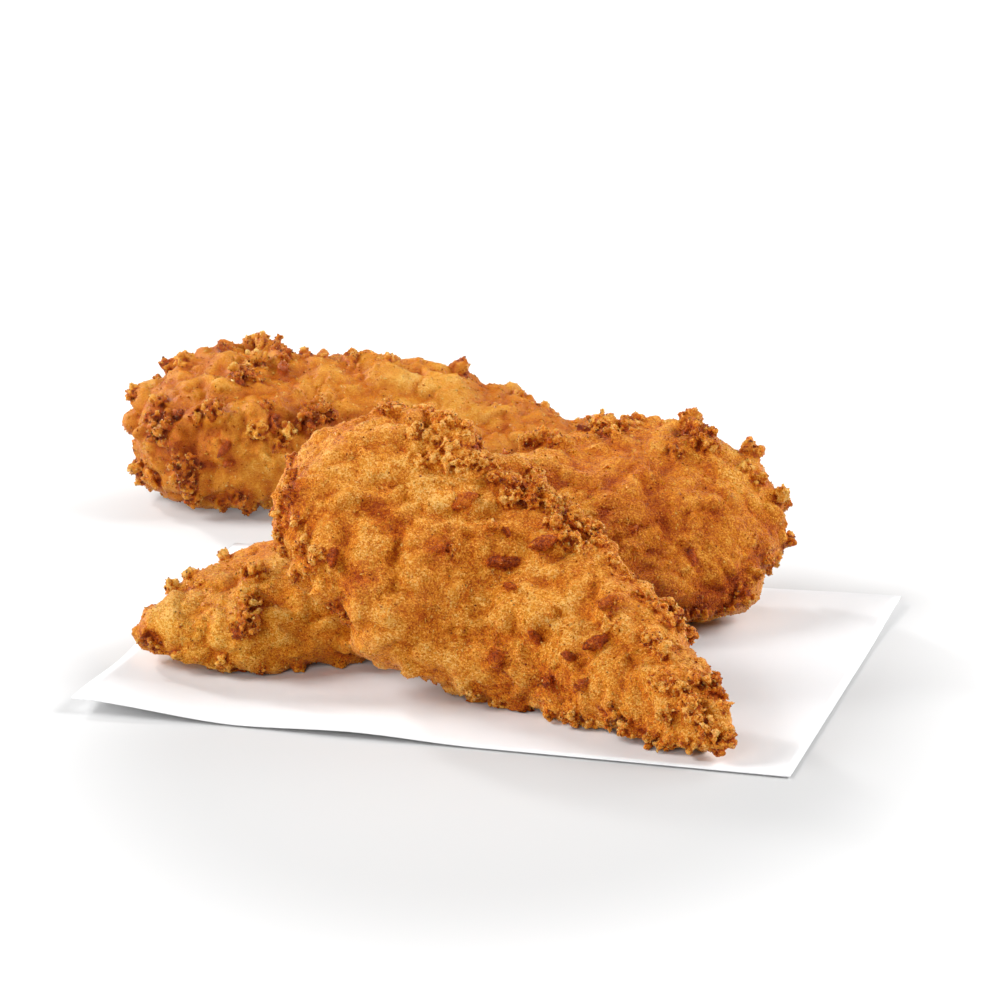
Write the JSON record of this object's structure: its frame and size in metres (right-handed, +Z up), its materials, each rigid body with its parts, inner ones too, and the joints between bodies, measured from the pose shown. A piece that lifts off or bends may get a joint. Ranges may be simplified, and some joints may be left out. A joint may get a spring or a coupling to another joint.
{
  "type": "breaded chicken tenders",
  "caption": "Breaded fried chicken tenders with a craggy golden crust, one leaning on the next, served on and behind a thin sheet of white paper.",
  "frame": {"origin": "centre of the paper sheet's underside, on the surface that the part stands on", "axes": "+X along the sheet's long edge towards the tip of the front tender, +Y towards the tender behind the sheet, +Z up"},
  "size_m": [0.1717, 0.1607, 0.0512],
  "materials": {
    "crust": "golden brown fried breading, granular, matte with small greasy glints",
    "paper": "white greaseproof paper, matte"
  },
  "bodies": {
    "root": {"paper_sheet": "paper", "tender_front": "crust", "tender_crossing": "crust", "tender_rear": "crust"}
  },
  "joints": []
}
